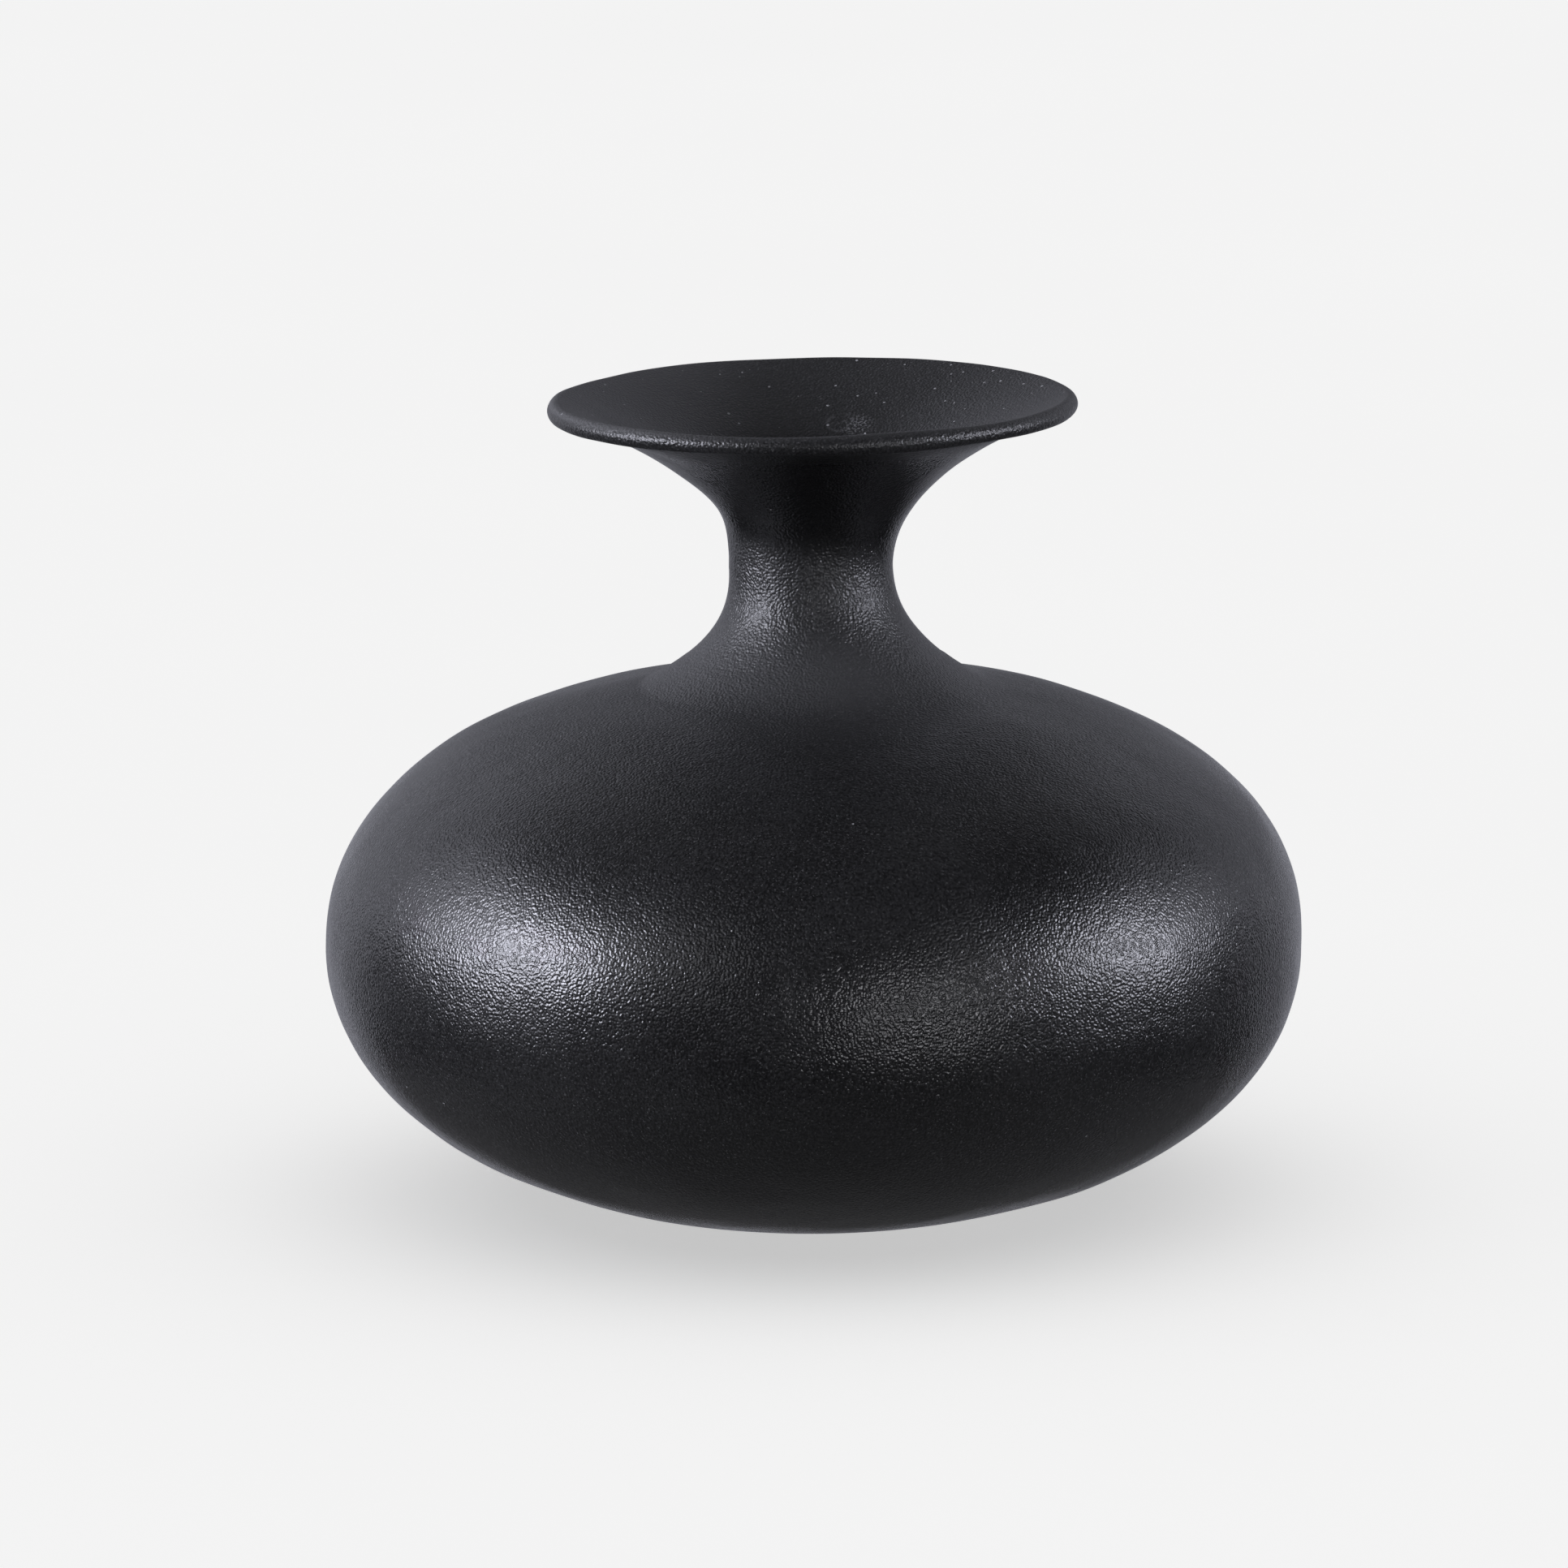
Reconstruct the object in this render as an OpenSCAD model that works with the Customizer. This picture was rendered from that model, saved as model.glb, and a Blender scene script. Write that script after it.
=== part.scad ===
// Squat round-bodied black clay pot with a narrow waisted neck and a wide flared mouth.
// It is built up from clay sections luted edge to edge. Every section is a turned ring on +Z,
// its edges are bevelled so that each one centres the next, coils reinforce two seams inside, and
// a round coil that laps under the flare makes the lip.
// Millimetres, +Z up, origin at the centre of the foot.

/* [Body] */
// Outside diameter of the belly
body_d = 280; // [250:1:310]
// Height of the widest point of the belly
belly_z = 72; // [66:1:78]
// Diameter that the pot stands on
foot_d = 106; // [90:1:130]
// How full the lower half is under the belly: 2 is an ellipse, more is fuller
lower_across = 2.2; // [2:0.01:2.6]
// How upright the lower half leaves the belly: 2 is an ellipse, more is straighter
lower_up = 2.08; // [1.9:0.01:2.6]
// How full the shoulder is over the belly: 2 is an ellipse, more is fuller
upper_across = 2.35; // [2:0.01:2.6]
// How upright the shoulder leaves the belly: 2 is an ellipse, more is straighter
upper_up = 2.35; // [2:0.01:2.6]

/* [Neck and mouth] */
// Diameter of the crease where the neck stands on the shoulder
neck_foot_d = 100.6; // [90:0.2:108]
// Height of that crease
neck_foot_z = 148.2; // [142:0.2:154]
// Outside diameter of the neck at its narrowest
waist_d = 47; // [40:1:56]
// Height of the narrowest point
waist_z = 183.6; // [178:0.2:188]
// How sharply the neck spreads towards the shoulder
neck_power = 2.4; // [1.8:0.05:2.8]
// Outside diameter of the mouth, over the lip
mouth_d = 151.4; // [130:0.2:170]
// Height of the whole pot
pot_h = 232; // [224:0.5:240]
// How sharply the mouth spreads from the neck
flare_power = 2.25; // [1.9:0.05:2.8]

/* [Walls] */
// Wall of the belly
body_wall = 6; // [4:0.5:8]
// Wall of the neck at its narrowest
neck_wall = 5; // [4:0.5:6]
// Thickness of the lip
lip_t = 5.2; // [4:0.1:6]
// Width of the lip's coil where it laps under the flare
lip_lap_w = 10; // [6:0.5:14]
// How far the lip's round face turns in under itself, in degrees
lip_turn = 30; // [20:1:45]
// Thickness of the floor over the foot
floor_t = 8; // [7:0.5:11]
// Width of the ring that touches the table
foot_ring_w = 8; // [6:0.5:12]
// How far the middle of the underside is raised
foot_recess = 1.2; // [0.5:0.1:2]

/* [Seams] */
// Outside height of the seam between neck and flared rim
rim_seam_z = 200; // [194:1:205]
// Height that each bevelled edge rises across the wall
bevel = 6; // [4:0.5:8]
// Width of each inner coil along the wall
coil_w = 20; // [14:1:24]
// How far each inner coil stands off the wall
coil_t = 4; // [2:0.5:6]

/* [Hidden] */

clay = [0.13, 0.13, 0.135];
curve_steps = 18;
band_steps = 8;
lip_steps = 16;
$fn = 180;

// Share of the neck's wall that its foot keeps at the crease, and the way the neck's coil stands off
crease_wall_share = 0.8;
neck_coil_angle = 45;

// Radii and half heights of the belly's outer and inner faces
belly_r = body_d / 2;
foot_r = foot_d / 2;
crease_r = neck_foot_d / 2;
lower_shape = [lower_across, lower_up];
upper_shape = [upper_across, upper_up];
lower_h = belly_z / squircle(foot_r / belly_r, lower_shape);
upper_h = (neck_foot_z - belly_z) / squircle(crease_r / belly_r, upper_shape);
inner_belly_r = belly_r - body_wall;
inner_lower_h = lower_h - body_wall;
inner_upper_h = upper_h - body_wall;

// The seam between bowl and dome rises by one bevel from the outside to the inside
equator_seam_rise = bevel;
floor_drop = belly_z - floor_t;
coil_below = coil_w / 2 - equator_seam_rise;
coil_above = coil_w / 2 + equator_seam_rise;

// The floor disc's edge leans outwards, so that the disc drops in from above and stops
disc_low_r = foot_r - foot_ring_w;
disc_lean = bevel / floor_t;

// Inner end of the crease seam, square across the wall
inner_crease_r = crease_r - neck_wall * crease_wall_share;
inner_crease_rise = inner_upper_h * squircle(inner_crease_r / inner_belly_r, upper_shape);
inner_crease_z = belly_z + inner_crease_rise;
dome_coil_rise = inner_upper_h * squircle((inner_crease_r + coil_w / 2) / inner_belly_r, upper_shape);

// The neck's waist, the centre of the lip, and the slope of the wall where it meets the lip
waist_r = waist_d / 2;
inner_waist_r = waist_r - neck_wall;
lip_r = mouth_d / 2 - lip_t / 2;
lip_z = pot_h - lip_t / 2;
lip_middle = [lip_r, lip_z];
lip_angle = flare_angle(1);
lip_in = on_lip(lip_angle + 90);

// The lip's coil laps under the flare from here, and its round face ends here
lap_share = pow(1 - lip_lap_w / (lip_r - waist_r), 1 / flare_power);
lap_start = [lip_r - lip_lap_w, waist_z + (lip_z - waist_z) * lap_share];
lip_under_angle = lip_angle - 90 - lip_turn;
lip_under = on_lip(lip_under_angle);
lap_corner = meet(lap_start, flare_angle(lap_share), lip_under, lip_under_angle + 90);

// The rim seam rises by half a bevel from the outside to the inside
inner_rim_seam_z = rim_seam_z + bevel / 2;

// Height of a unit superellipse, with powers [across, up], at distance x from its axis
function squircle(x, shape) = pow(1 - pow(x, shape[0]), 1 / shape[1]);

// Superellipse quadrant between two heights above its centre, as [radius, height]
function belly_curve(half_w, half_h, shape, from_h, to_h, steps) =
    let (start = asin(pow(from_h / half_h, shape[1] / 2)))
    let (end = asin(pow(to_h / half_h, shape[1] / 2)))
    [for (i = [0:steps])
        let (angle = start + (end - start) * i / steps)
        [half_w * pow(cos(angle), 2 / shape[0]), half_h * pow(sin(angle), 2 / shape[1])]];

// The same curve set above or below the belly's widest point
function above(points) = [for (p = points) [p[0], belly_z + p[1]]];
function below(points) = [for (p = points) [p[0], belly_z - p[1]]];

// Curve that leaves the waist upright and spreads to an end point, between two shares of the way;
// rounding must not take a share below 0, because it has no power there
function spread(from_r, end_point, power, from_share, to_share, steps) =
    [for (i = [0:steps])
        let (share = max(0, from_share + (to_share - from_share) * i / steps))
        [from_r + (end_point[0] - from_r) * pow(share, power),
         waist_z + (end_point[1] - waist_z) * share]];

// Slope of the flare's outside at a share of its height above the waist
function flare_angle(share) =
    atan2(lip_z - waist_z, flare_power * (lip_r - waist_r) * pow(share, flare_power - 1));

// Point on the lip's round face
function on_lip(angle) = lip_middle + [cos(angle), sin(angle)] * lip_t / 2;

// Where a line through p at one angle meets a line through q at another
function meet(p, p_angle, q, q_angle) =
    let (reach = (q - p) * [sin(q_angle), -cos(q_angle)] / sin(q_angle - p_angle))
    p + reach * [cos(p_angle), sin(p_angle)];

// Soft bend from p to q that leaves and arrives along the lines to their corner
function bend(p, corner, q, steps) =
    [for (i = [0:steps])
        let (t = i / steps)
        p * pow(1 - t, 2) + corner * 2 * t * (1 - t) + q * pow(t, 2)];

function reverse(points) = [for (i = [len(points) - 1:-1:0]) points[i]];

// A band's free face: the wall face behind it, swollen along a direction and closed at both ends
function swell(points, direction, height) =
    let (last = len(points) - 1)
    [for (i = [1:last - 1]) points[i] + direction * height * sin(180 * i / last)];

// Wall faces that two neighbours share, so that their edges match exactly
bowl_coil_face = below(belly_curve(inner_belly_r, inner_lower_h, lower_shape,
                                   0, coil_below, band_steps));
bowl_top_face = above(belly_curve(inner_belly_r, inner_upper_h, upper_shape,
                                  0, equator_seam_rise, band_steps));
dome_coil_face = above(belly_curve(inner_belly_r, inner_upper_h, upper_shape,
                                   equator_seam_rise, coil_above, band_steps));
dome_neck_coil_face = above(belly_curve(inner_belly_r, inner_upper_h, upper_shape,
                                        dome_coil_rise, inner_crease_rise, band_steps));
inner_crease = [inner_crease_r, inner_crease_z];
neck_coil_share = 1 - coil_w / 2 / (waist_z - inner_crease_z);
neck_coil_face = spread(inner_waist_r, inner_crease, neck_power, 1, neck_coil_share, band_steps);

lip_lap_face = spread(waist_r, lip_middle, flare_power, lap_share, 1, band_steps);

// Shares of the flare at the rim seam, outside and inside
outer_seam_share = (rim_seam_z - waist_z) / (lip_z - waist_z);
inner_seam_share = (inner_rim_seam_z - waist_z) / (lip_in[1] - waist_z);

module turned(points) {
    color(clay)
        rotate_extrude()
            polygon(points);
}

// Slab that closes the bottom, dropped into the bowl's bevelled hole
module base_disc() {
    turned([
        [0, foot_recess],
        [disc_low_r + disc_lean * foot_recess, foot_recess],
        [disc_low_r + bevel, floor_t],
        [0, floor_t]]);
}

// Lower half of the belly, with the ring that it stands on
module lower_bowl() {
    turned(concat(
        [[disc_low_r, 0]],
        reverse(below(belly_curve(belly_r, lower_h, lower_shape, 0, belly_z, curve_steps))),
        reverse(bowl_top_face),
        bowl_coil_face,
        below(belly_curve(inner_belly_r, inner_lower_h, lower_shape,
                          coil_below, floor_drop, curve_steps)),
        [[disc_low_r + bevel, floor_t]]));
}

// Coil smeared over the inside of the seam between bowl and dome
module equator_coil() {
    back = concat(reverse(bowl_coil_face), bowl_top_face, dome_coil_face);
    turned(concat(back, reverse(swell(back, [-1, 0], coil_t))));
}

// Upper half of the belly, up to the crease under the neck
module shoulder_dome() {
    turned(concat(
        above(belly_curve(belly_r, upper_h, upper_shape, 0, neck_foot_z - belly_z, curve_steps)),
        reverse(dome_neck_coil_face),
        reverse(above(belly_curve(inner_belly_r, inner_upper_h, upper_shape,
                                  coil_above, dome_coil_rise, curve_steps))),
        reverse(dome_coil_face)));
}

// Waisted neck, from the crease to the rim seam
module neck() {
    turned(concat(
        spread(waist_r, [crease_r, neck_foot_z], neck_power, 1, 0, curve_steps),
        spread(waist_r, lip_middle, flare_power, 0, outer_seam_share, curve_steps),
        spread(inner_waist_r, lip_in, flare_power, inner_seam_share, 0, curve_steps),
        spread(inner_waist_r, inner_crease, neck_power, 0, neck_coil_share, curve_steps),
        reverse(neck_coil_face)));
}

// Coil smeared over the inside of the seam between dome and neck
module neck_coil() {
    back = concat(dome_neck_coil_face, neck_coil_face);
    inward = [-cos(neck_coil_angle), -sin(neck_coil_angle)];
    turned(concat(back, reverse(swell(back, inward, coil_t))));
}

// Trumpet-shaped rim, from the rim seam to the middle of the lip
module flared_rim() {
    turned(concat(
        spread(waist_r, lip_middle, flare_power, outer_seam_share, lap_share, curve_steps),
        lip_lap_face,
        spread(inner_waist_r, lip_in, flare_power, 1, inner_seam_share, curve_steps)));
}

// Round coil that finishes the edge of the mouth and laps under the flare
module lip_coil() {
    round_face = [for (i = [0:lip_steps])
        on_lip(lip_under_angle + (180 + lip_turn) * i / lip_steps)];
    turned(concat(
        bend(lap_start, lap_corner, lip_under, band_steps),
        round_face,
        reverse(lip_lap_face)));
}

base_disc();
lower_bowl();
equator_coil();
shoulder_dome();
neck();
neck_coil();
flared_rim();
lip_coil();
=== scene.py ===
# Looks of a squat black clay pot: its clay sections as handmade surfaces, one grained clay material,
# a pale floor, studio softboxes and the camera. Metres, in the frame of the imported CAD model.
import math

import bpy
import numpy as np
from mathutils import Matrix, Vector


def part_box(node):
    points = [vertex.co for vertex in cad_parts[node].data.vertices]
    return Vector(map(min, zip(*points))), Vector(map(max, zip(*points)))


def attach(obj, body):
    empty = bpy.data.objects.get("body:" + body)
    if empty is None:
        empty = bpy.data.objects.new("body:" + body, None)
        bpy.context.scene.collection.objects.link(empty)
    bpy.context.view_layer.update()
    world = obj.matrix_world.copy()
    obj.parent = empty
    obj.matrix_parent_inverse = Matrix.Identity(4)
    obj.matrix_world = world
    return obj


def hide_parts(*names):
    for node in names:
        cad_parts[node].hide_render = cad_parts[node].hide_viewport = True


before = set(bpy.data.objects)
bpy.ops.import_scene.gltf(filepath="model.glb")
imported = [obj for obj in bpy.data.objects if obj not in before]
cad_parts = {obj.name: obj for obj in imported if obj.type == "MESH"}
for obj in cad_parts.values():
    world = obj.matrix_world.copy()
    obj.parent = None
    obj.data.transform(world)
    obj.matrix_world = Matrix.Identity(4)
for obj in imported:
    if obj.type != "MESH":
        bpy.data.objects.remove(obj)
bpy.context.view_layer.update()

# ---------------------------------------------------------------- sizes that the CAD boxes give
BELLY_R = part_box("lower_bowl")[1].x
BELLY_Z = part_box("shoulder_dome")[0].z
CREASE_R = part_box("neck")[1].x
CREASE_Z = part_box("shoulder_dome")[1].z
INNER_CREASE_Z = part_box("neck")[0].z
RIM_SEAM_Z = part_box("flared_rim")[0].z
FLOOR_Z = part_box("base_disc")[1].z
UNDERSIDE_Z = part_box("base_disc")[0].z
DISC_TOP_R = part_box("base_disc")[1].x
MOUTH_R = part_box("lip_coil")[1].x
TOP_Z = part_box("lip_coil")[1].z
EQUATOR_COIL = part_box("equator_coil")
NECK_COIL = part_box("neck_coil")

# ---------------------------------------------------------------- shape of the wall
FOOT_R = 0.053
RING_W = 0.008
LOWER_SHAPE = (2.2, 2.08)
UPPER_SHAPE = (2.35, 2.35)
WAIST_R = 0.0235
WAIST_Z = 0.1836
NECK_POWER = 2.4
FLARE_POWER = 2.25
BODY_WALL = 0.006
NECK_WALL = 0.005
LIP_T = 0.0052
LIP_LAP_W = 0.010
LIP_TURN = math.radians(30)
CREASE_WALL_SHARE = 0.8
BEVEL = 0.006
COIL_T = 0.004

# Points around the pot, spacing of its rows, and points along each curve before it is spaced evenly
AROUND = 256
ROW_STEP = 0.0012
LIP_STEP = ROW_STEP / 3
HIDDEN_STEP = 0.003
CURVE_POINTS = 600
LIP_POINTS = 60

# Lengths under which two points, a radius or a normal count as nothing
SAME_POINT = 1e-7
NO_RADIUS = 1e-6
NO_LENGTH = 1e-12


# ---------------------------------------------------------------- outline of the wall
def squircle(x, shape):
    """Height of a unit superellipse, with powers (across, up), at distance x from its axis."""
    return (1 - x ** shape[0]) ** (1 / shape[1])


def belly_curve(half_w, half_h, shape, from_h, to_h):
    """Superellipse quadrant between two heights above its centre, as (radius, height) rows."""
    start, end = (math.asin((h / half_h) ** (shape[1] / 2)) for h in (from_h, to_h))
    angle = np.linspace(start, end, CURVE_POINTS)
    across = half_w * np.cos(angle) ** (2 / shape[0])
    up = half_h * np.sin(angle) ** (2 / shape[1])
    return np.column_stack((across, up))


def above(points):
    return np.column_stack((points[:, 0], BELLY_Z + points[:, 1]))


def below(points):
    return np.column_stack((points[:, 0], BELLY_Z - points[:, 1]))


def spread(from_r, end, power, from_share, to_share):
    """Curve that leaves the waist upright and spreads to an end point, between two shares of the way."""
    share = np.linspace(from_share, to_share, CURVE_POINTS)
    radius = from_r + (end[0] - from_r) * share ** power
    height = WAIST_Z + (end[1] - WAIST_Z) * share
    return np.column_stack((radius, height))


def meet(p, p_angle, q, q_angle):
    """Where a line through p at one angle meets a line through q at another."""
    reach = (q - p) @ (math.sin(q_angle), -math.cos(q_angle)) / math.sin(q_angle - p_angle)
    return p + reach * np.array((math.cos(p_angle), math.sin(p_angle)))


def bend(p, corner, q):
    """Soft bend from p to q that leaves and arrives along the lines to their corner."""
    t = np.linspace(0, 1, LIP_POINTS)[:, None]
    return p * (1 - t) ** 2 + corner * 2 * t * (1 - t) + q * t ** 2


def even(points, step):
    """The same curve with rows an even step apart along it."""
    points = np.asarray(points, float)
    along = np.concatenate(([0], np.cumsum(np.hypot(*np.diff(points, axis=0).T))))
    places = np.linspace(0, along[-1], max(2, round(along[-1] / step) + 1))
    return np.column_stack([np.interp(places, along, points[:, k]) for k in (0, 1)])


def wall_outline():
    """The skin as named stretches, from the underside's middle over the lip to the floor's middle."""
    lower_h = BELLY_Z / squircle(FOOT_R / BELLY_R, LOWER_SHAPE)
    upper_h = (CREASE_Z - BELLY_Z) / squircle(CREASE_R / BELLY_R, UPPER_SHAPE)
    inner_r = BELLY_R - BODY_WALL
    inner_lower_h = lower_h - BODY_WALL
    inner_upper_h = upper_h - BODY_WALL
    inner_crease_rise = INNER_CREASE_Z - BELLY_Z
    ring_inner_r = FOOT_R - RING_W
    disc_low_r = ring_inner_r + (DISC_TOP_R - ring_inner_r) * UNDERSIDE_Z / FLOOR_Z
    crease = (CREASE_R, CREASE_Z)
    inner_crease = (CREASE_R - NECK_WALL * CREASE_WALL_SHARE, INNER_CREASE_Z)
    inner_waist_r = WAIST_R - NECK_WALL

    # The lip is a round coil on the end of the flare, with a soft bend where it laps under the wall
    lip_middle = np.array((MOUTH_R - LIP_T / 2, TOP_Z - LIP_T / 2))
    flare_w = lip_middle[0] - WAIST_R
    flare_h = lip_middle[1] - WAIST_Z
    lap_share = (1 - LIP_LAP_W / flare_w) ** (1 / FLARE_POWER)
    lap_start = np.array((lip_middle[0] - LIP_LAP_W, WAIST_Z + flare_h * lap_share))
    lip_angle = math.atan2(flare_h, FLARE_POWER * flare_w)
    lap_angle = math.atan2(flare_h, FLARE_POWER * flare_w * lap_share ** (FLARE_POWER - 1))
    under_angle = lip_angle - math.pi / 2 - LIP_TURN
    round_angle = np.linspace(under_angle, lip_angle + math.pi / 2, LIP_POINTS)
    round_face = lip_middle + np.column_stack((np.cos(round_angle), np.sin(round_angle))) * LIP_T / 2
    lap_corner = meet(lap_start, lap_angle, round_face[0], under_angle + math.pi / 2)
    lip = np.vstack((bend(lap_start, lap_corner, round_face[0]), round_face))
    lip_in = lip[-1]

    outer_share = (RIM_SEAM_Z - WAIST_Z) / flare_h
    inner_share = (RIM_SEAM_Z + BEVEL / 2 - WAIST_Z) / (lip_in[1] - WAIST_Z)
    outer_bowl = below(belly_curve(BELLY_R, lower_h, LOWER_SHAPE, BELLY_Z, 0))
    outer_dome = above(belly_curve(BELLY_R, upper_h, UPPER_SHAPE, 0, CREASE_Z - BELLY_Z))
    inner_dome = above(belly_curve(inner_r, inner_upper_h, UPPER_SHAPE, inner_crease_rise, BEVEL))
    inner_bowl = np.vstack((above(belly_curve(inner_r, inner_upper_h, UPPER_SHAPE, BEVEL, 0)),
                            below(belly_curve(inner_r, inner_lower_h, LOWER_SHAPE, 0, BELLY_Z - FLOOR_Z))))
    neck = np.vstack((spread(WAIST_R, crease, NECK_POWER, 1, 0),
                      spread(WAIST_R, lip_middle, FLARE_POWER, 0, outer_share)))
    rim = spread(WAIST_R, lip_middle, FLARE_POWER, outer_share, lap_share)
    inner_neck = np.vstack((spread(inner_waist_r, lip_in, FLARE_POWER, inner_share, 0),
                            spread(inner_waist_r, inner_crease, NECK_POWER, 0, 1)))
    return [
        ("underside", even([(0, UNDERSIDE_Z), (disc_low_r, UNDERSIDE_Z)], HIDDEN_STEP)),
        ("foot_ring", even([(ring_inner_r, 0), (FOOT_R, 0)], ROW_STEP)),
        ("bowl", even(outer_bowl, ROW_STEP)),
        ("dome", even(outer_dome, ROW_STEP)),
        ("neck", even(neck, ROW_STEP)),
        ("rim", even(rim, ROW_STEP)),
        ("lip", even(lip, LIP_STEP)),
        ("inner_rim", even(spread(inner_waist_r, lip_in, FLARE_POWER, 1, inner_share), ROW_STEP)),
        ("inner_neck", even(inner_neck, ROW_STEP)),
        ("inner_dome", even(inner_dome, HIDDEN_STEP)),
        ("inner_bowl", even(inner_bowl, HIDDEN_STEP)),
        ("ledge", even([inner_bowl[-1], (DISC_TOP_R, FLOOR_Z)], HIDDEN_STEP)),
        ("floor", even([(DISC_TOP_R, FLOOR_Z), (0, FLOOR_Z)], HIDDEN_STEP)),
    ]


# ---------------------------------------------------------------- the maker's hand
def smooth_step(x, low, high):
    t = np.clip((x - low) / (high - low), 0, 1)
    return t * t * (3 - 2 * t)


def ripples(points, count, length, height, seed):
    """Soft random relief: a sum of plane waves about one length long, with a root mean square height."""
    rng = np.random.default_rng(seed)
    ways = rng.normal(size=(count, 3))
    ways /= np.linalg.norm(ways, axis=1)[:, None]
    waves = ways * 2 * math.pi / (length * rng.uniform(*WAVE_SPREAD, count))[:, None]
    starts = rng.uniform(0, 2 * math.pi, count)
    total = np.zeros(points.shape[:-1])
    for wave, start in zip(waves, starts):
        total += np.sin(points @ wave + start)
    return total * height * math.sqrt(2 / count)


# Relief left by palms and by fingers: number of waves, their length and height, and the seed
HAND_RELIEF = ((40, 0.055, 0.00018, 3), (40, 0.016, 0.00003, 8))
WAVE_SPREAD = (0.7, 1.4)
# The foot is ground flat, so the relief fades in between these heights
RELIEF_STARTS = (0.0005, 0.012)
# How far the clay wanders off the axis at some heights, and the tilts of the mouth and the shoulder
DRIFT_Z = (0.0, 0.35 * BELLY_Z, BELLY_Z, CREASE_Z, WAIST_Z, RIM_SEAM_Z, TOP_Z)
DRIFT_X = (0.0, 0.0006, 0.0, 0.0016, 0.0, 0.0008, 0.0008)
MOUTH_TILT = math.radians(0.55)
SHOULDER_LEAN = math.radians(-0.4)
SHOULDER_LEAN_Z = 0.72 * CREASE_Z
# The maker smoothed the crease under the neck with a finger, less on the side at -X
CREASE_SOFTNESS = 0.005
SOFTENING_LOST_AT_LEFT = 0.6
# Softening reaches this many times its softness along the wall
SOFTENING_REACH = 3
# The rim was luted on with a slight step, deepest on the side at -X
SEAM_STEP = 0.0009
SEAM_STEP_FADE = 0.012
SEAM_EDGE = 0.001


def handmade(grid, across):
    """Moves a grid of wall points as hands would: along the wall's own normals, off the axis and tilted."""
    height = grid[..., 2]
    relief = sum(ripples(grid, *waves) for waves in HAND_RELIEF)
    relief = relief * smooth_step(height, *RELIEF_STARTS)
    left = 0.5 - 0.5 * grid[..., 0] / np.maximum(np.hypot(grid[..., 0], grid[..., 1]), NO_RADIUS)
    outside = across[..., 0] * grid[..., 0] + across[..., 1] * grid[..., 1] > 0
    below_seam = smooth_step(height, RIM_SEAM_Z - SEAM_STEP_FADE, RIM_SEAM_Z - SEAM_EDGE)
    above_seam = 1 - smooth_step(height, RIM_SEAM_Z, RIM_SEAM_Z + SEAM_STEP_FADE)
    relief = relief - outside * SEAM_STEP * left ** 2 * np.minimum(below_seam, above_seam)
    moved = grid + across * relief[..., None]
    moved[..., 0] += np.interp(height, DRIFT_Z, DRIFT_X)
    moved[..., 2] += moved[..., 0] * math.tan(MOUTH_TILT) * smooth_step(height, WAIST_Z, TOP_Z)
    shoulder = smooth_step(height, SHOULDER_LEAN_Z, CREASE_Z) - smooth_step(height, CREASE_Z, WAIST_Z)
    moved[..., 2] += moved[..., 0] * math.tan(SHOULDER_LEAN) * shoulder
    return moved


def soften(rows, corner, softness):
    """The same rows with the clay smoothed along the wall around one corner, on its own side of the wall."""
    along = np.concatenate(([0], np.cumsum(np.hypot(*np.diff(rows, axis=0).T))))
    centre = np.argmin(np.linalg.norm(rows - corner, axis=1))
    soft = rows.copy()
    for i in np.nonzero(np.abs(along - along[centre]) < SOFTENING_REACH * softness)[0]:
        weight = np.exp(-0.5 * ((along - along[i]) / softness) ** 2) * np.gradient(along)
        soft[i] = weight @ rows / weight.sum()
    return soft


def turn(rows, normals):
    """Turns (radius, height) rows and their normals into a grid of points and a grid of normals."""
    theta = np.linspace(0, 2 * math.pi, AROUND, endpoint=False)
    circle = np.stack((np.cos(theta), np.sin(theta)), axis=-1)

    def swept(pairs):
        flat = pairs[:, None, :1] * circle[None]
        return np.concatenate((flat, np.broadcast_to(pairs[:, None, 1:], flat.shape[:2] + (1,))), axis=-1)

    return swept(rows), swept(normals)


def outline_normals(rows):
    """Normals on the right-hand side of the rows' direction, which is the clay's outside."""
    along = np.gradient(rows, axis=0)
    normals = np.column_stack((along[:, 1], -along[:, 0]))
    return normals / np.maximum(np.linalg.norm(normals, axis=1), NO_LENGTH)[:, None]


def grid_normals(grid):
    """Normals of a turned grid, which closes on itself around."""
    along = np.gradient(grid, axis=0)
    around = np.roll(grid, -1, axis=1) - np.roll(grid, 1, axis=1)
    normals = np.cross(around, along)
    return normals / np.maximum(np.linalg.norm(normals, axis=-1), NO_LENGTH)[..., None]


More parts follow.
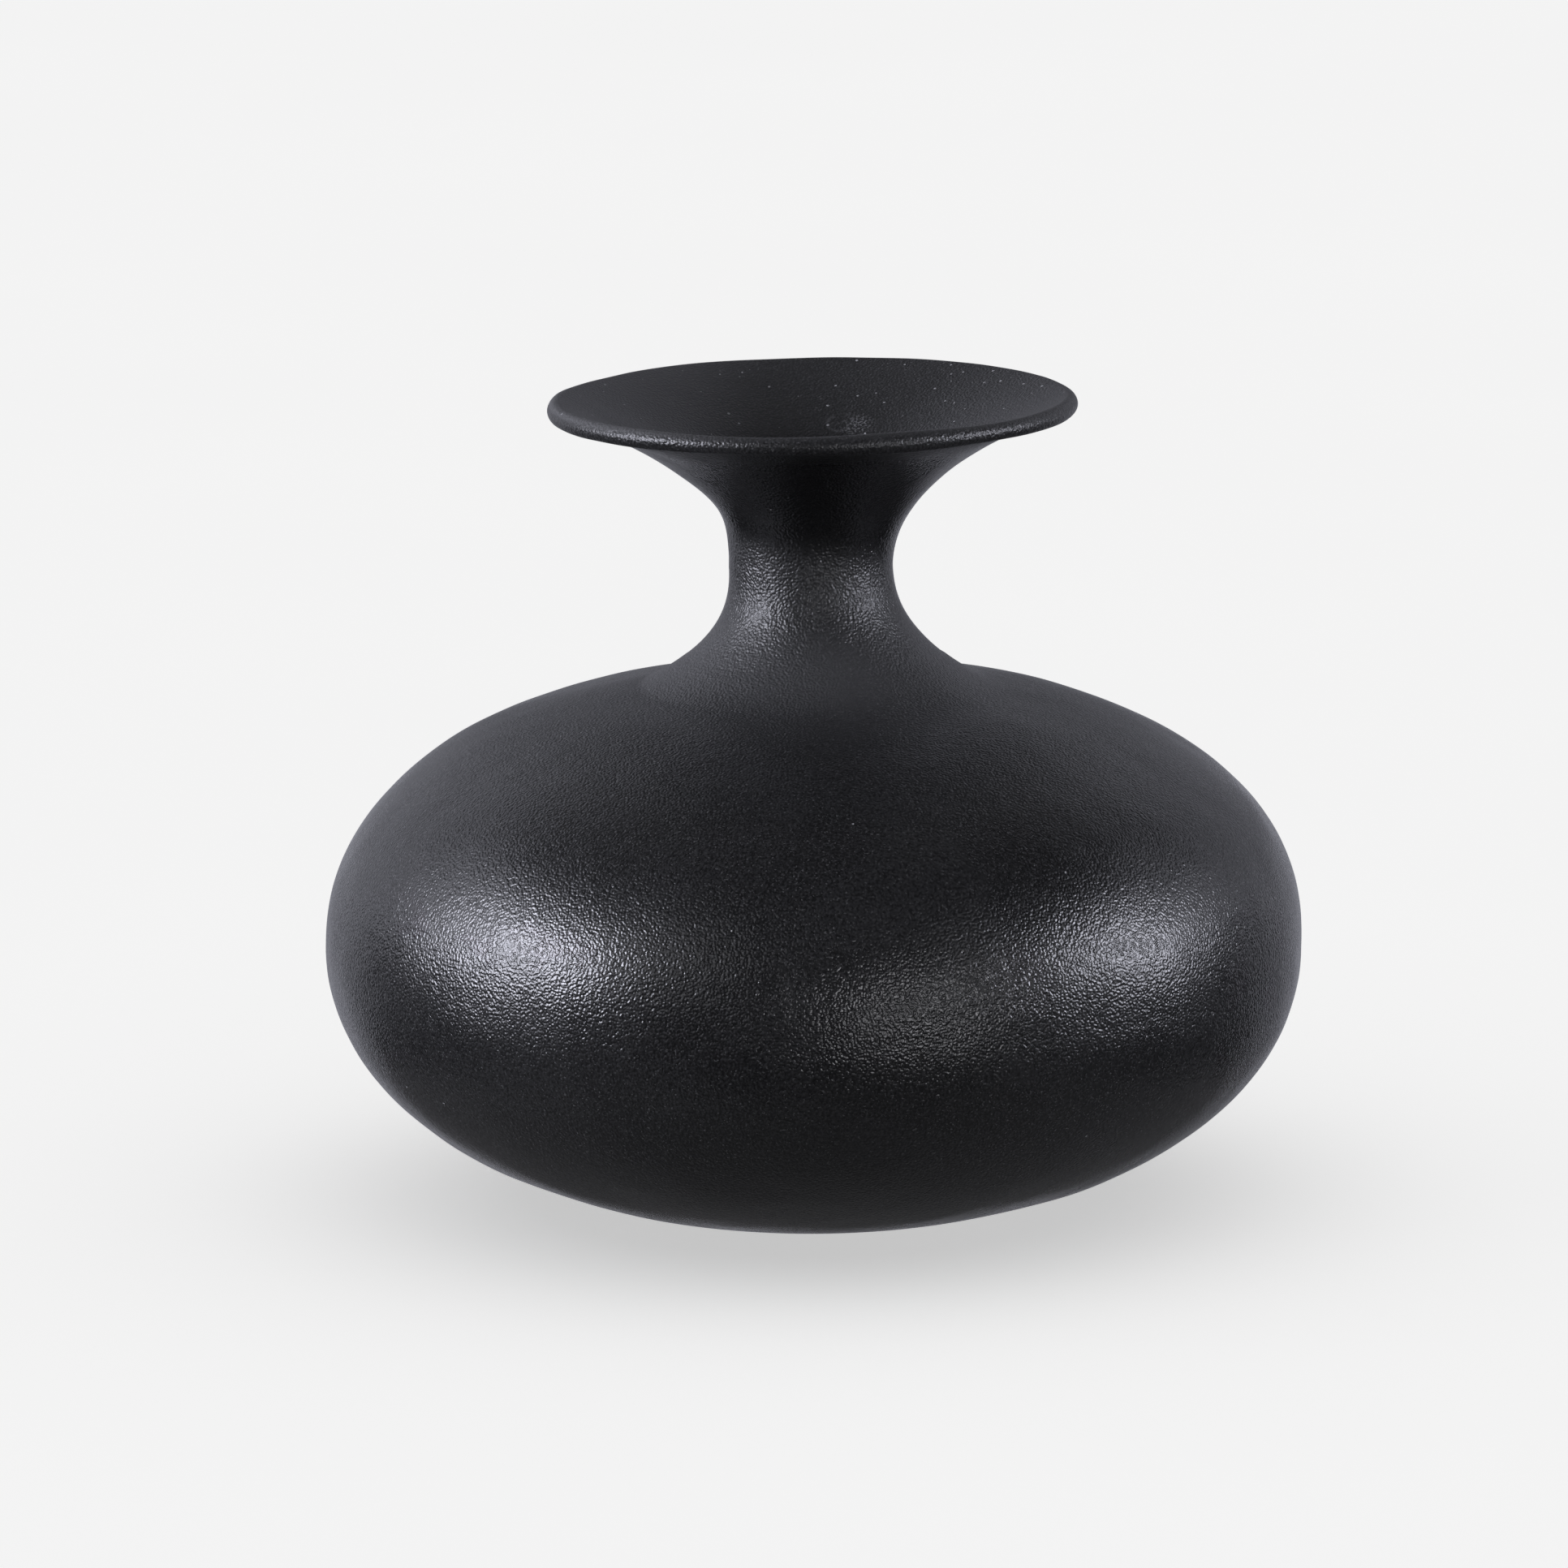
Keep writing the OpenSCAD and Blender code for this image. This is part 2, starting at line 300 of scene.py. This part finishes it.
def make_skin():
    """The whole skin once, so that sections share their edges: a dict of stretch to (points, normals)."""
    stretches = wall_outline()
    skin = {}
    runs = [stretches[:1], stretches[1:]]
    for run in runs:
        rows = np.vstack([points for _, points in run])
        keep = np.ones(len(rows), bool)
        keep[1:] = np.linalg.norm(np.diff(rows, axis=0), axis=1) > SAME_POINT
        even_rows = rows[keep]
        points, across = turn(even_rows, outline_normals(even_rows))
        soft_rows = soften(even_rows, (CREASE_R, CREASE_Z), CREASE_SOFTNESS)
        soft_points, _ = turn(soft_rows, outline_normals(soft_rows))
        around = np.linspace(0, 2 * math.pi, AROUND, endpoint=False)
        share = 1 - SOFTENING_LOST_AT_LEFT * (0.5 - 0.5 * np.cos(around)) ** 3
        points = points + (soft_points - points) * share[None, :, None]
        points = handmade(points, across)
        normals = grid_normals(points)
        place = np.cumsum(keep) - 1
        first = 0
        for name, stretch in run:
            rows_of_stretch = place[first:first + len(stretch)]
            skin[name] = (points[rows_of_stretch], normals[rows_of_stretch])
            first += len(stretch)
    return skin


# ---------------------------------------------------------------- meshes
def ring_mesh(name, stretches, closed=True):
    """A mesh of turned stretches, joined edge to edge; closed also joins the last row to the first.
    A row with no radius becomes one point. Skin rows keep the whole skin's normals."""
    verts, rows, skin_normals = [], [], []
    for index, (points, normals) in enumerate(stretches):
        for row, row_normals in zip(points, normals):
            pole = np.ptp(row[:, :2], axis=0).max() < NO_RADIUS
            count = 1 if pole else AROUND
            rows.append((list(range(len(verts), len(verts) + count)), index))
            verts.extend(row[:count].tolist())
            skin_normals.extend(row_normals[:count].tolist())
    faces, on_skin = [], []
    pairs = list(zip(rows, rows[1:]))
    if closed:
        pairs.append((rows[-1], rows[0]))
    for (low, low_stretch), (high, high_stretch) in pairs:
        same = low_stretch == high_stretch
        for i in range(AROUND):
            j = (i + 1) % AROUND
            if len(low) == 1:
                faces.append((low[0], high[j], high[i]))
            elif len(high) == 1:
                faces.append((low[i], low[j], high[0]))
            else:
                faces.append((low[i], low[j], high[j], high[i]))
            on_skin.append(same)
    mesh = bpy.data.meshes.new(name)
    mesh.from_pydata(verts, [], faces)
    mesh.update()
    mesh.polygons.foreach_set("use_smooth", [True] * len(faces))
    loop_normals = []
    for polygon, smooth in zip(mesh.polygons, on_skin):
        for vertex in polygon.vertices:
            loop_normals.append(skin_normals[vertex] if smooth else tuple(polygon.normal))
    mesh.normals_split_custom_set(loop_normals)
    piece = bpy.data.objects.new(name, mesh)
    bpy.context.scene.collection.objects.link(piece)
    return piece


def join(skin, *names):
    """Stretches that follow each other, as one stretch."""
    points = [skin[names[0]][0]] + [skin[n][0][1:] for n in names[1:]]
    normals = [skin[names[0]][1]] + [skin[n][1][1:] for n in names[1:]]
    return np.concatenate(points), np.concatenate(normals)


# Rows this close to an end of a band still belong to it
BAND_SLACK = 1e-4


def between(stretch, low_z, high_z):
    """The rows of a stretch whose height lies between two heights, ends included."""
    points, normals = stretch
    height = points[:, :, 2].mean(axis=1)
    keep = (height > low_z - BAND_SLACK) & (height < high_z + BAND_SLACK)
    return points[keep], normals[keep]


# Finger dents around each inner coil, and the seed of their uneven spacing
EQUATOR_DENTS = (46, 5)
NECK_DENTS = (18, 9)
# Height of a dent as a share of the coil, and how unevenly the dents are spaced
DENT_SHARE = 0.2
DENT_WANDER = 0.7
DENT_WANDER_TURNS = 3


def seam_coil(name, back_points, back_normals, dents, seed):
    """A coil smeared over a seam: its back lies on the wall, its face swells and carries finger dents."""
    count = len(back_points)
    share = np.linspace(0, 1, count)[:, None]
    theta = np.linspace(0, 2 * math.pi, AROUND, endpoint=False)[None, :]
    rng = np.random.default_rng(seed)
    wander = rng.uniform(0, 2 * math.pi, 2)
    uneven = DENT_WANDER * np.sin(DENT_WANDER_TURNS * theta + wander[0])
    press = 1 - DENT_SHARE + DENT_SHARE * np.cos(dents * theta + uneven + wander[1])
    swell = np.sin(math.pi * share) * press * COIL_T
    face = (back_points + back_normals * swell[..., None])[::-1]
    stretch = face[1:-1]
    return ring_mesh(name, [(back_points, -back_normals), (stretch, grid_normals(stretch))])


def make_pot():
    skin = make_skin()
    pieces = {
        "base_disc": ring_mesh("pot_base_disc", [skin["underside"], skin["floor"]], closed=False),
        "lower_bowl": ring_mesh("pot_lower_bowl", [join(skin, "foot_ring", "bowl"),
                                                   join(skin, "inner_bowl", "ledge")]),
        "shoulder_dome": ring_mesh("pot_shoulder_dome", [skin["dome"], skin["inner_dome"]]),
        "neck": ring_mesh("pot_neck", [skin["neck"], skin["inner_neck"]]),
        "flared_rim": ring_mesh("pot_flared_rim", [skin["rim"], skin["inner_rim"]]),
        "lip_coil": ring_mesh("pot_lip_coil", [skin["lip"]]),
    }
    wall = join(skin, "inner_dome", "inner_bowl")
    band = between(wall, EQUATOR_COIL[0].z, EQUATOR_COIL[1].z)
    pieces["equator_coil"] = seam_coil("pot_equator_coil", *band, *EQUATOR_DENTS)
    dome_part = between(skin["inner_dome"], NECK_COIL[0].z, TOP_Z)
    neck_part = between(skin["inner_neck"], 0, NECK_COIL[1].z)
    band = [np.concatenate((on_neck, on_dome[1:])) for on_neck, on_dome in zip(neck_part, dome_part)]
    pieces["neck_coil"] = seam_coil("pot_neck_coil", *band, *NECK_DENTS)
    return pieces


# ---------------------------------------------------------------- materials
class Nodes:
    """Short helper to build a material's node tree."""

    def __init__(self, name):
        self.material = bpy.data.materials.new(name)
        self.material.use_nodes = True
        self.tree = self.material.node_tree
        self.tree.nodes.clear()

    def add(self, kind, settings=None, **inputs):
        node = self.tree.nodes.new(kind)
        for key, value in (settings or {}).items():
            setattr(node, key, value)
        for key, value in inputs.items():
            self.set(node, key.replace("_", " "), value)
        return node

    def set(self, node, key, value):
        socket = node.inputs[int(key)] if key.isdigit() else node.inputs[key]
        if isinstance(value, bpy.types.NodeSocket):
            self.tree.links.new(value, socket)
        else:
            socket.default_value = value

    def noise(self, vector, scale, detail=2.0, roughness=0.5):
        node = self.add("ShaderNodeTexNoise", Vector=vector, Scale=scale, Detail=detail, Roughness=roughness)
        return node.outputs["Fac"]

    def ramp(self, value, low, high, out_low=0.0, out_high=1.0):
        node = self.add("ShaderNodeMapRange", {"clamp": True, "interpolation_type": "SMOOTHSTEP"},
                        Value=value, From_Min=low, From_Max=high, To_Min=out_low, To_Max=out_high)
        return node.outputs["Result"]

    def math(self, operation, a, b):
        node = self.add("ShaderNodeMath", {"operation": operation})
        self.set(node, "0", a)
        self.set(node, "1", b)
        return node.outputs["Value"]

    def distance(self, vector, point):
        node = self.add("ShaderNodeVectorMath", {"operation": "DISTANCE"})
        self.set(node, "0", vector)
        self.set(node, "1", point)
        return node.outputs["Value"]

    def mix(self, factor, a, b):
        node = self.add("ShaderNodeMix", {"data_type": "RGBA"})
        self.set(node, "0", factor)
        self.set(node, "6", a)
        self.set(node, "7", b)
        return node.outputs[2]


# Sizes and colours of the clay's patterns; hide is a coarser pattern under the grain
GRAIN = 0.0007
GRAIN_DEPTH = 0.00023
HIDE = GRAIN * 3.2
HIDE_SHARE = 0.35
SAND = 0.0006
CLOUDS_PER_METRE = 28.0
SMOKE_PER_METRE = 9.0
CLAY_COLOR = (0.014, 0.014, 0.0142)
SAND_COLOR = (0.06, 0.06, 0.06)
# Pale colour of dust and marks, also used for the pale film that is partly painted light
DUST_AND_PAINTED_LIGHT_COLOR = (0.34, 0.34, 0.345)

# Every ramp below is where it starts and ends, and its results there if those are not 0 and 1,
# and every tone is a factor of one of the colours above

# Smoke colour: clouds, the grain's pits, its rubbed tops, and pale sand
CLOUDS = (0.3, 0.7)
CLOUD_TONES = (0.85, 1.2)
PITS = (0.30, 0.48)
PIT_TONE = 0.6
RUBBED = (0.55, 0.75)
RUBBED_TONE = 1.7
SAND_SPECKS = (0.70, 0.80)

# Painted shade under the flare, on faces that look down, as far as the lip
FACES_DOWN = (-0.45, -0.05, 1.0, 0.0)
LIP_STARTS = (TOP_Z - 0.012, TOP_Z - 0.006)
PAINTED_SHADE_TONE = 0.3

# Pale film: inside the mouth it is dust in random patches plus painted light, thicker at -X where the inside
# of the mouth is lit; in the crease under the neck it is painted light, where the neck's highlight runs down
# onto the shoulder
FACES_UP = (0.35, 0.8)
FILM_IN_SMOKE = (0.25, 0.75, 0.06, 0.2)
FILM_PAINTED_LIGHT_AT_LEFT = (-0.065, -0.01, 0.5, 0.0)
CREASE_PAINTED_LIGHT_STARTS = (CREASE_Z - 0.006, CREASE_Z + 0.008)
CREASE_PAINTED_LIGHT_ENDS = (CREASE_Z + 0.010, CREASE_Z + 0.026, 0.3, 0.0)
FILM_TONE = 0.3

# Loose pale specks: the space between places for one, the largest one as a share of that space,
# and a ramp for the share of places left bare, from outside the mouth to inside it
FLECK_GAP = 0.0028
FLECK_SHARE = 0.16
FLECK_BARE = (0.0, 1.0, 0.993, 0.6)
FLECK_TONE = 0.85

# Marks low on the mouth's far wall: a crust of pale sand, and a wiped ring beside it
CRUST_MIDDLE = (0.0139, 0.0407, 0.2160)
CRUST_R = 0.0065
CRUST_THINS = (CRUST_R * 0.2, CRUST_R, 0.6, 0.0)
CRUST_SPECKS = (0.54, 0.64)
CRUST_TONE = 0.7
RING_MIDDLE = (0.0089, 0.0432, 0.2166)
RING_R = 0.0040
RING_FADES = (0.0, 0.0009, 0.4, 0.0)
RING_BREAKS = (0.35, 0.6)

# Gloss: roughness of the outer and the inner clay, how far it varies, and what hands, the pale film and the
# flecks add to it
CLAY_ROUGHNESS = 0.25
INNER_ROUGHNESS = 0.62
UNEVEN = (0.35, 0.65)
UNEVEN_CLOUD_SHARE = 0.6
UNEVEN_SMOKE_SHARE = 0.4
ROUGHNESS_BELOW = 0.03
ROUGHNESS_ABOVE = 0.04
HANDLED = (CREASE_Z - 0.035, WAIST_Z - 0.015)
HANDLED_ROUGHNESS = 0.14
FILM_AND_FLECK_ROUGHNESS = 0.25
CLAY_IOR = 1.5

# Relief of the grain: the neck's is deeper, and the inner clay's twice as deep
NECK_RELIEF = (WAIST_Z, RIM_SEAM_Z, 0.4, 0.0)
INNER_GRAIN_DEPTH = GRAIN_DEPTH * 2


def grey(level, factor=1.0):
    return (*[c * factor for c in level], 1)


def clay_patterns(n):
    """The places and noises that the clay is made of, as a dict of sockets."""
    where = n.add("ShaderNodeTexCoord").outputs["Object"]
    place = n.add("ShaderNodeSeparateXYZ", Vector=where).outputs
    normal = n.add("ShaderNodeNewGeometry").outputs["Normal"]
    return {
        "where": where,
        "x": place["X"],
        "z": place["Z"],
        "facing_up": n.add("ShaderNodeSeparateXYZ", Vector=normal).outputs["Z"],
        "grain": n.noise(where, 1 / GRAIN, detail=0.0),
        "hide": n.noise(where, 1 / HIDE, detail=1.0),
        "sand": n.noise(where, 1 / SAND, detail=0.0),
        "cloud": n.noise(where, CLOUDS_PER_METRE, detail=3.0, roughness=0.55),
        "smoke": n.noise(where, SMOKE_PER_METRE, detail=2.0),
    }


def smoked(n, clay):
    """Smoke colour: darker in the grain's pits, paler where it is rubbed, with fine pale sand."""
    dark, pale = (grey(CLAY_COLOR, tone) for tone in CLOUD_TONES)
    shade = n.mix(n.ramp(clay["cloud"], *CLOUDS), dark, pale)
    shade = n.mix(n.ramp(clay["grain"], *PITS), grey(CLAY_COLOR, PIT_TONE), shade)
    shade = n.mix(n.ramp(clay["grain"], *RUBBED), shade, grey(CLAY_COLOR, RUBBED_TONE))
    return n.mix(n.ramp(clay["sand"], *SAND_SPECKS), shade, grey(SAND_COLOR))


def under_flare(n, clay):
    """1 on faces under the flare that look down, where painted shade darkens the clay; 0 elsewhere and on
    the lip.
    """
    down = n.math("MULTIPLY", n.ramp(clay["facing_up"], *FACES_DOWN),
                  n.ramp(clay["z"], BELLY_Z, WAIST_Z))
    return n.math("MULTIPLY", down, n.math("SUBTRACT", 1.0, n.ramp(clay["z"], *LIP_STARTS)))


def dust_and_painted_light_film(n, clay, in_mouth):
    """How thick the pale film lies: dust and painted light inside the mouth, painted light in the crease
    under the neck.
    """
    on_mouth = n.math("ADD", n.ramp(clay["smoke"], *FILM_IN_SMOKE), n.ramp(clay["x"], *FILM_PAINTED_LIGHT_AT_LEFT))
    # Painted light: the crease under the neck is made paler
    painted_light_in_crease = n.math("MULTIPLY", n.ramp(clay["z"], *CREASE_PAINTED_LIGHT_STARTS),
                       n.ramp(clay["z"], *CREASE_PAINTED_LIGHT_ENDS))
    return n.math("ADD", n.math("MULTIPLY", in_mouth, on_mouth), painted_light_in_crease)


def pale_flecks(n, clay, in_mouth):
    """1 on loose pale specks, which are many in the mouth and few elsewhere."""
    cell = n.add("ShaderNodeTexVoronoi", {"feature": "F1"}, Vector=clay["where"], Scale=1 / FLECK_GAP)
    chosen = n.add("ShaderNodeSeparateColor", Color=cell.outputs["Color"]).outputs
    reach = n.math("MULTIPLY", chosen["Green"], FLECK_SHARE)
    return n.math("MULTIPLY", n.math("LESS_THAN", cell.outputs["Distance"], reach),
                  n.math("GREATER_THAN", chosen["Red"], n.ramp(in_mouth, *FLECK_BARE)))


def mouth_marks(n, clay, shade):
    """The shade with the crust of sand and the wiped ring on it."""
    from_crust = n.distance(clay["where"], CRUST_MIDDLE)
    crust = n.math("MULTIPLY", n.ramp(from_crust, *CRUST_THINS), n.ramp(clay["sand"], *CRUST_SPECKS))
    shade = n.mix(crust, shade, grey(DUST_AND_PAINTED_LIGHT_COLOR, CRUST_TONE))
    from_ring = n.math("SUBTRACT", n.distance(clay["where"], RING_MIDDLE), RING_R)
    off_ring = n.math("ABSOLUTE", from_ring, 0.0)
    ring = n.math("MULTIPLY", n.ramp(off_ring, *RING_FADES), n.ramp(clay["hide"], *RING_BREAKS))
    return n.mix(ring, shade, grey(DUST_AND_PAINTED_LIGHT_COLOR, FILM_TONE))


def gloss(n, clay, roughness, handled, film_and_flecks):
    """Roughness: uneven from the firing, and rougher in the pale film and flecks and where hands rubbed
    neck, mouth and lip.
    """
    uneven = n.math("ADD", n.math("MULTIPLY", clay["cloud"], UNEVEN_CLOUD_SHARE),
                    n.math("MULTIPLY", clay["smoke"], UNEVEN_SMOKE_SHARE))
    fired = n.ramp(uneven, *UNEVEN, roughness - ROUGHNESS_BELOW, roughness + ROUGHNESS_ABOVE)
    rough = n.math("ADD", fired, n.math("MULTIPLY", handled, HANDLED_ROUGHNESS))
    return n.math("ADD", rough, n.math("MULTIPLY", film_and_flecks, FILM_AND_FLECK_ROUGHNESS))


def grain_relief(n, clay, worked, depth):
    """Orange-peel grain as bumped normals."""
    relief = n.math("ADD", clay["grain"], n.math("MULTIPLY", clay["hide"], HIDE_SHARE))
    deeper = n.math("MULTIPLY", worked, n.ramp(clay["z"], *NECK_RELIEF))
    relief = n.math("MULTIPLY", relief, n.math("ADD", deeper, 1.0))
    bump = n.add("ShaderNodeBump", Height=relief, Strength=1.0, Distance=depth)
    return bump.outputs["Normal"]


def black_clay(name, grain_depth, roughness):
    """Matte black fired clay: orange-peel grain, uneven smoke colour, painted shade under the flare, dust, a
    pale film that is partly painted light, and handling marks.
    """
    n = Nodes(name)
    clay = clay_patterns(n)
    shade_under_flare = under_flare(n, clay)
    in_mouth = n.math("MULTIPLY", n.ramp(clay["z"], WAIST_Z, RIM_SEAM_Z),
                      n.ramp(clay["facing_up"], *FACES_UP))
    film = dust_and_painted_light_film(n, clay, in_mouth)
    flecks = pale_flecks(n, clay, in_mouth)

    # Painted shade: the clay is darkened under the flare, where shade falls
    shade = n.mix(shade_under_flare, smoked(n, clay), grey(CLAY_COLOR, PAINTED_SHADE_TONE))
    # Pale film: dust and painted light in the mouth, painted light in the crease under the neck
    shade = n.mix(film, shade, grey(DUST_AND_PAINTED_LIGHT_COLOR, FILM_TONE))
    shade = mouth_marks(n, clay, shade)
    shade = n.mix(flecks, shade, grey(DUST_AND_PAINTED_LIGHT_COLOR, FLECK_TONE))

    worked = n.ramp(clay["z"], *HANDLED)
    handled = n.math("MULTIPLY", worked, n.math("SUBTRACT", 1.0, shade_under_flare))
    rough = gloss(n, clay, roughness, handled, n.math("ADD", film, flecks))
    normal = grain_relief(n, clay, worked, grain_depth)
    shader = n.add("ShaderNodeBsdfPrincipled", Base_Color=shade, Roughness=rough, Normal=normal,
                   IOR=CLAY_IOR)
    output = n.add("ShaderNodeOutputMaterial")
    n.set(output, "Surface", shader.outputs["BSDF"])
    return n.material


FLOOR_TONES = ((0.84, 0.84, 0.84, 1), (0.87, 0.87, 0.87, 1))
FLOOR_CLOUDS_PER_METRE = 3.0
FLOOR_ROUGHNESS = 0.9
FLOOR_SPECULAR = 0.1
FLOOR_GLOW = 0.55


def pale_floor():
    n = Nodes("pale_floor")
    where = n.add("ShaderNodeTexCoord").outputs["Object"]
    tone = n.mix(n.noise(where, FLOOR_CLOUDS_PER_METRE), *FLOOR_TONES)
    shader = n.add("ShaderNodeBsdfPrincipled", Base_Color=tone, Roughness=FLOOR_ROUGHNESS)
    n.set(shader, "Specular IOR Level", FLOOR_SPECULAR)
    n.set(shader, "Emission Color", (1, 1, 1, 1))
    n.set(shader, "Emission Strength", FLOOR_GLOW)
    output = n.add("ShaderNodeOutputMaterial")
    n.set(output, "Surface", shader.outputs["BSDF"])
    return n.material


# ---------------------------------------------------------------- studio
FLOOR_R = 14.0
FLOOR_CORNERS = 96
FLOOR_GAP = 0.0002
LIT_BY_SOFTBOXES = bpy.data.collections.new("lit_by_softboxes")
LIT_BY_WASH = bpy.data.collections.new("lit_by_wash")
POT_MIDDLE = Vector((0, 0, 0.11))


def make_floor():
    """A round pale floor, a hair under the foot, that neither lights the pot nor shows in it."""
    mesh = bpy.data.meshes.new("floor")
    turns = [2 * math.pi * i / FLOOR_CORNERS for i in range(FLOOR_CORNERS)]
    corners = [(FLOOR_R * math.cos(t), FLOOR_R * math.sin(t), -FLOOR_GAP) for t in turns]
    mesh.from_pydata(corners, [], [range(FLOOR_CORNERS)])
    floor = bpy.data.objects.new("floor", mesh)
    mesh.materials.append(pale_floor())
    bpy.context.scene.collection.objects.link(floor)
    floor.visible_glossy = False
    floor.visible_diffuse = False
    floor.visible_shadow = False
    LIT_BY_WASH.objects.link(floor)


def direction(azimuth, elevation):
    """Unit vector from the pot; azimuth 0 is towards the camera, 90 is +X, in degrees."""
    a, e = math.radians(azimuth), math.radians(elevation)
    return Vector((math.sin(a) * math.cos(e), -math.cos(a) * math.cos(e), math.sin(e)))


def softbox(name, azimuth, elevation, distance, width, height, radiance, tint):
    """A rectangular softbox that faces the pot; radiance is what a mirror in the pot's place would show."""
    light = bpy.data.lights.new(name, "AREA")
    light.shape = "RECTANGLE"
    light.size = width
    light.size_y = height
    light.energy = radiance * math.pi * width * height
    light.color = tint
    box = bpy.data.objects.new(name, light)
    out = direction(azimuth, elevation)
    box.location = POT_MIDDLE + out * distance
    box.rotation_mode = "QUATERNION"
    box.rotation_quaternion = out.to_track_quat("Z", "Y")
    box.visible_camera = False
    box.light_linking.receiver_collection = LIT_BY_SOFTBOXES
    bpy.context.scene.collection.objects.link(box)
    return box


WASH_ENERGY = 1.3
WASH_ANGLE = math.radians(110)


def floor_wash():
    """Wide soft light from above for the floor alone, which puts a faint shadow under the pot."""
    light = bpy.data.lights.new("floor_wash", "SUN")
    light.energy = WASH_ENERGY
    light.angle = WASH_ANGLE
    wash = bpy.data.objects.new("floor_wash", light)
    wash.light_linking.receiver_collection = LIT_BY_WASH
    bpy.context.scene.collection.objects.link(wash)


COOL = (0.87, 0.88, 1.0)
PALE = (0.95, 0.95, 1.0)
# name, azimuth, elevation, distance, width, height, radiance, tint
SOFTBOXES = [
    ("key_left", -72, 16, 1.8, 0.85, 0.55, 26.0, COOL),
    ("key_left_halo", -88, 21, 1.8, 1.70, 1.20, 1.9, COOL),
    ("key_right", 77, 11, 1.8, 0.65, 0.50, 19.5, COOL),
    ("key_right_halo", 92, 18, 1.8, 1.40, 1.10, 1.05, COOL),
    ("front_low", 22, 1, 1.8, 0.45, 0.30, 11.5, PALE),
    ("fill_left", -40, 24, 1.8, 1.00, 1.00, 0.9, PALE),
    ("fill_right", 45, 15, 1.8, 1.00, 1.00, 0.5, PALE),
    ("backdrop_left", -138, 20, 2.0, 1.60, 1.70, 0.56, COOL),
    ("backdrop_middle", 180, 12, 2.0, 1.60, 1.40, 0.34, COOL),
    ("backdrop_right", 138, 20, 2.0, 1.60, 1.70, 0.37, COOL),
    ("backdrop_high", 180, 62, 2.0, 2.20, 1.40, 0.17, PALE),
    ("backdrop_low", 180, -15, 2.0, 3.80, 0.85, 0.56, COOL),
    ("table_near", 0, -89, 0.24, 0.70, 0.70, 0.115, PALE),
]


SURROUND_COLOR = (0.9, 0.9, 0.9, 1)


def make_world():
    """A pale surround that only the camera sees, so that the softboxes alone light the pot."""
    world = bpy.data.worlds.new("surround")
    bpy.context.scene.world = world
    world.use_nodes = True
    background = world.node_tree.nodes["Background"]
    background.inputs["Color"].default_value = SURROUND_COLOR
    background.inputs["Strength"].default_value = 1.0
    world.cycles_visibility.diffuse = False
    world.cycles_visibility.glossy = False
    world.cycles_visibility.transmission = False
    world.cycles_visibility.scatter = False


# ---------------------------------------------------------------- camera
CAMERA_Y = -2.8
CAMERA_Z = 0.6688
AIM = Vector((-0.0081, 0, 0.1196))
CAMERA_ROLL = math.radians(-0.376)
LENS_MM = 228.3
SENSOR_MM = 36
SEES_UP_TO = 100


def make_camera():
    data = bpy.data.cameras.new("camera")
    data.sensor_width = SENSOR_MM
    data.lens = LENS_MM
    data.clip_end = SEES_UP_TO
    camera = bpy.data.objects.new("camera", data)
    place = Vector((0, CAMERA_Y, CAMERA_Z))
    facing = (AIM - place).to_track_quat("-Z", "Y").to_matrix().to_4x4()
    camera.matrix_world = Matrix.Translation(place) @ facing @ Matrix.Rotation(CAMERA_ROLL, 4, "Z")
    bpy.context.scene.collection.objects.link(camera)
    bpy.context.scene.camera = camera


# ---------------------------------------------------------------- build
bpy.context.scene.view_settings.view_transform = "Standard"
make_camera()
make_world()
make_floor()
floor_wash()
for box in SOFTBOXES:
    softbox(*box)

outer_clay = black_clay("matte_black_clay", GRAIN_DEPTH, CLAY_ROUGHNESS)
inner_clay = black_clay("inner_black_clay", INNER_GRAIN_DEPTH, INNER_ROUGHNESS)
INNER_NODES = ("equator_coil", "neck_coil")
for node, piece in make_pot().items():
    inside = node in INNER_NODES
    piece.data.materials.append(inner_clay if inside else outer_clay)
    LIT_BY_SOFTBOXES.objects.link(piece)
    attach(piece, "root")
    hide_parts(node)
